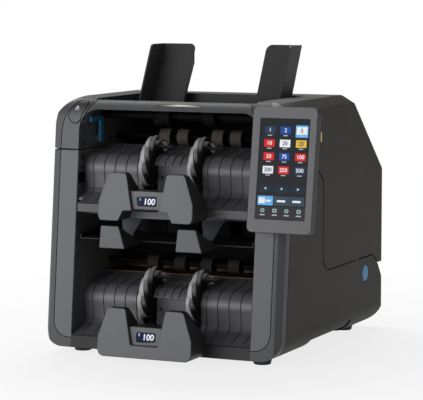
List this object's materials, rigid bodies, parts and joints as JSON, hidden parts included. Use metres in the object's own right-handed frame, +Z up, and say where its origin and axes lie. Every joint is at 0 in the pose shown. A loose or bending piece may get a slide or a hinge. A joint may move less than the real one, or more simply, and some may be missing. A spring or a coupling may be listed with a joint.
{
  "type": "banknote sorter",
  "caption": "Counter-top banknote sorter with two stacking pockets, a reject tray between them, a touch screen on the right pillar and a hopper on a tip-back upper unit.",
  "frame": {"origin": "under the middle of the object, on the table", "axes": "+X to the right seen from the front, +Y to the back, +Z up"},
  "size_m": [0.329, 0.3766, 0.348],
  "materials": {
    "case_shell": "fine textured moulding",
    "front_rim": "satin moulding",
    "pillar_plate": "satin silver grey paint",
    "guide_black": "polished moulding",
    "wheel_grey": "flexible moulding",
    "steel": "turned or rolled",
    "dark_steel": "black coated sheet",
    "brown_sheet": "bronze coated sheet",
    "black_plastic": "moulded",
    "roller_rubber": "ground rubber",
    "foot_rubber": "moulded rubber",
    "belt_rubber": "moulded rubber",
    "screen_face": "glossy touch screen",
    "count_face": "backlit display",
    "touch_blue": "blue moulding",
    "lens_metal": "bright trim",
    "board_green": "lacquered board"
  },
  "bodies": {
    "base": {"bottom_pan": "case_shell", "left_side_cover": "case_shell", "right_side_cover": "case_shell", "rear_lower_cover": "case_shell", "front_frame": "front_rim", "pillar_plates": "pillar_plate", "left_frame_plate": "dark_steel", "right_frame_plate": "dark_steel", "hinge_pins": "steel", "rubber_feet": "foot_rubber", "lower_pocket_guide": "guide_black", "upper_pocket_guide": "guide_black", "lower_center_guide": "guide_black", "upper_center_guide": "guide_black", "lower_front_tower": "pillar_plate", "upper_front_tower": "pillar_plate", "lower_count_display": "count_face", "upper_count_display": "count_face", "reject_tray": "dark_steel", "reject_stops": "pillar_plate", "lower_exit_guide": "brown_sheet", "transport_plate": "dark_steel", "frame_screws": "steel", "screen_housing": "pillar_plate", "screen_glass": "screen_face", "screen_bracket": "dark_steel", "connector_panel": "black_plastic", "power_inlet": "black_plastic", "power_supply": "steel", "control_board": "board_green", "main_motor": "steel", "drive_belts": "belt_rubber"},
    "upper_unit": {"upper_cover": "case_shell", "front_beam": "front_rim", "upper_bezel_plates": "pillar_plate", "indicator_lens": "lens_metal", "hopper_tray": "guide_black", "upper_frame_plates": "dark_steel", "hinge_arms": "steel", "exit_guide": "guide_black", "scanner_head": "guide_black", "usb_port": "black_plastic", "guide_rail": "steel"},
    "lower_stacker": {"lower_stacker_shaft": "steel", "lower_stacker_wheels": "wheel_grey"},
    "upper_stacker": {"upper_stacker_shaft": "steel", "upper_stacker_wheels": "wheel_grey"},
    "motor_rotor": {"motor_pulley": "steel"},
    "lower_exit": {"lower_exit_rollers": "roller_rubber"},
    "flaps": {"reject_flaps": "guide_black"},
    "left_release": {"left_release_button": "touch_blue"},
    "right_release": {"right_release_button": "touch_blue"},
    "rocker": {"power_switch": "black_plastic"},
    "open_key": {"open_button": "front_rim"},
    "lever": {"jam_lever": "touch_blue"},
    "upper_exit": {"upper_exit_rollers": "roller_rubber"},
    "pickup": {"pickup_rollers": "roller_rubber"},
    "left_guide": {"left_hopper_guide": "guide_black"},
    "right_guide": {"right_hopper_guide": "guide_black"}
  },
  "joints": [
    {"name": "upper_unit_tilt", "type": "hinge", "parent": "base", "child": "upper_unit", "pos_m": [-0.0195, 0.16975, 0.08], "axis": [-1, 0, 0], "range_deg": [0, 45]},
    {"name": "lower_stacker_spin", "type": "hinge", "parent": "base", "child": "lower_stacker", "pos_m": [-0.0195, -0.09775, 0.059], "axis": [1, 0, 0], "continuous": true},
    {"name": "upper_stacker_spin", "type": "hinge", "parent": "base", "child": "upper_stacker", "pos_m": [-0.0195, -0.09375, 0.209], "axis": [1, 0, 0], "continuous": true},
    {"name": "motor_spin", "type": "hinge", "parent": "base", "child": "motor_rotor", "pos_m": [-0.1295, -0.01775, 0.042], "axis": [1, 0, 0], "continuous": true},
    {"name": "lower_exit_spin", "type": "hinge", "parent": "base", "child": "lower_exit", "pos_m": [-0.0195, -0.04875, 0.097], "axis": [1, 0, 0], "continuous": true},
    {"name": "reject_flap_swing", "type": "hinge", "parent": "base", "child": "flaps", "pos_m": [-0.0195, -0.10975, 0.1595], "axis": [-1, 0, 0], "range_deg": [0, 45]},
    {"name": "left_release_press", "type": "slide", "parent": "base", "child": "left_release", "axis": [1, 0, 0], "range_m": [0, 0.003], "stiffness_N_per_m": 400},
    {"name": "right_release_press", "type": "slide", "parent": "base", "child": "right_release", "axis": [-1, 0, 0], "range_m": [0, 0.003], "stiffness_N_per_m": 400},
    {"name": "power_switch_rock", "type": "hinge", "parent": "base", "child": "rocker", "pos_m": [-0.0575, 0.14225, 0.035], "axis": [1, 0, 0], "range_deg": [-8, 8]},
    {"name": "open_button_press", "type": "slide", "parent": "upper_unit", "child": "open_key", "axis": [0.1763, 0.8295, -0.5299], "range_m": [0, 0.002], "stiffness_N_per_m": 400},
    {"name": "jam_lever_swing", "type": "hinge", "parent": "upper_unit", "child": "lever", "pos_m": [-0.1245, -0.08225, 0.2435], "axis": [1, 0, 0], "range_deg": [0, 30]},
    {"name": "upper_exit_spin", "type": "hinge", "parent": "upper_unit", "child": "upper_exit", "pos_m": [-0.0195, -0.02875, 0.242], "axis": [1, 0, 0], "continuous": true},
    {"name": "pickup_spin", "type": "hinge", "parent": "upper_unit", "child": "pickup", "pos_m": [-0.0195, -0.06575, 0.26893], "axis": [1, 0, 0], "continuous": true},
    {"name": "right_guide_slide", "type": "slide", "parent": "upper_unit", "child": "right_guide", "axis": [1, 0, 0], "range_m": [-0.03, 0.005]},
    {"name": "left_guide_slide", "type": "slide", "parent": "upper_unit", "child": "left_guide", "axis": [1, 0, 0], "range_m": [-0.005, 0.03]}
  ],
  "couplings": [
    {"joint": "upper_stacker_spin", "follows": "lower_stacker_spin", "ratio": 1},
    {"joint": "motor_spin", "follows": "lower_stacker_spin", "ratio": 1},
    {"joint": "left_guide_slide", "follows": "right_guide_slide", "ratio": -1}
  ]
}
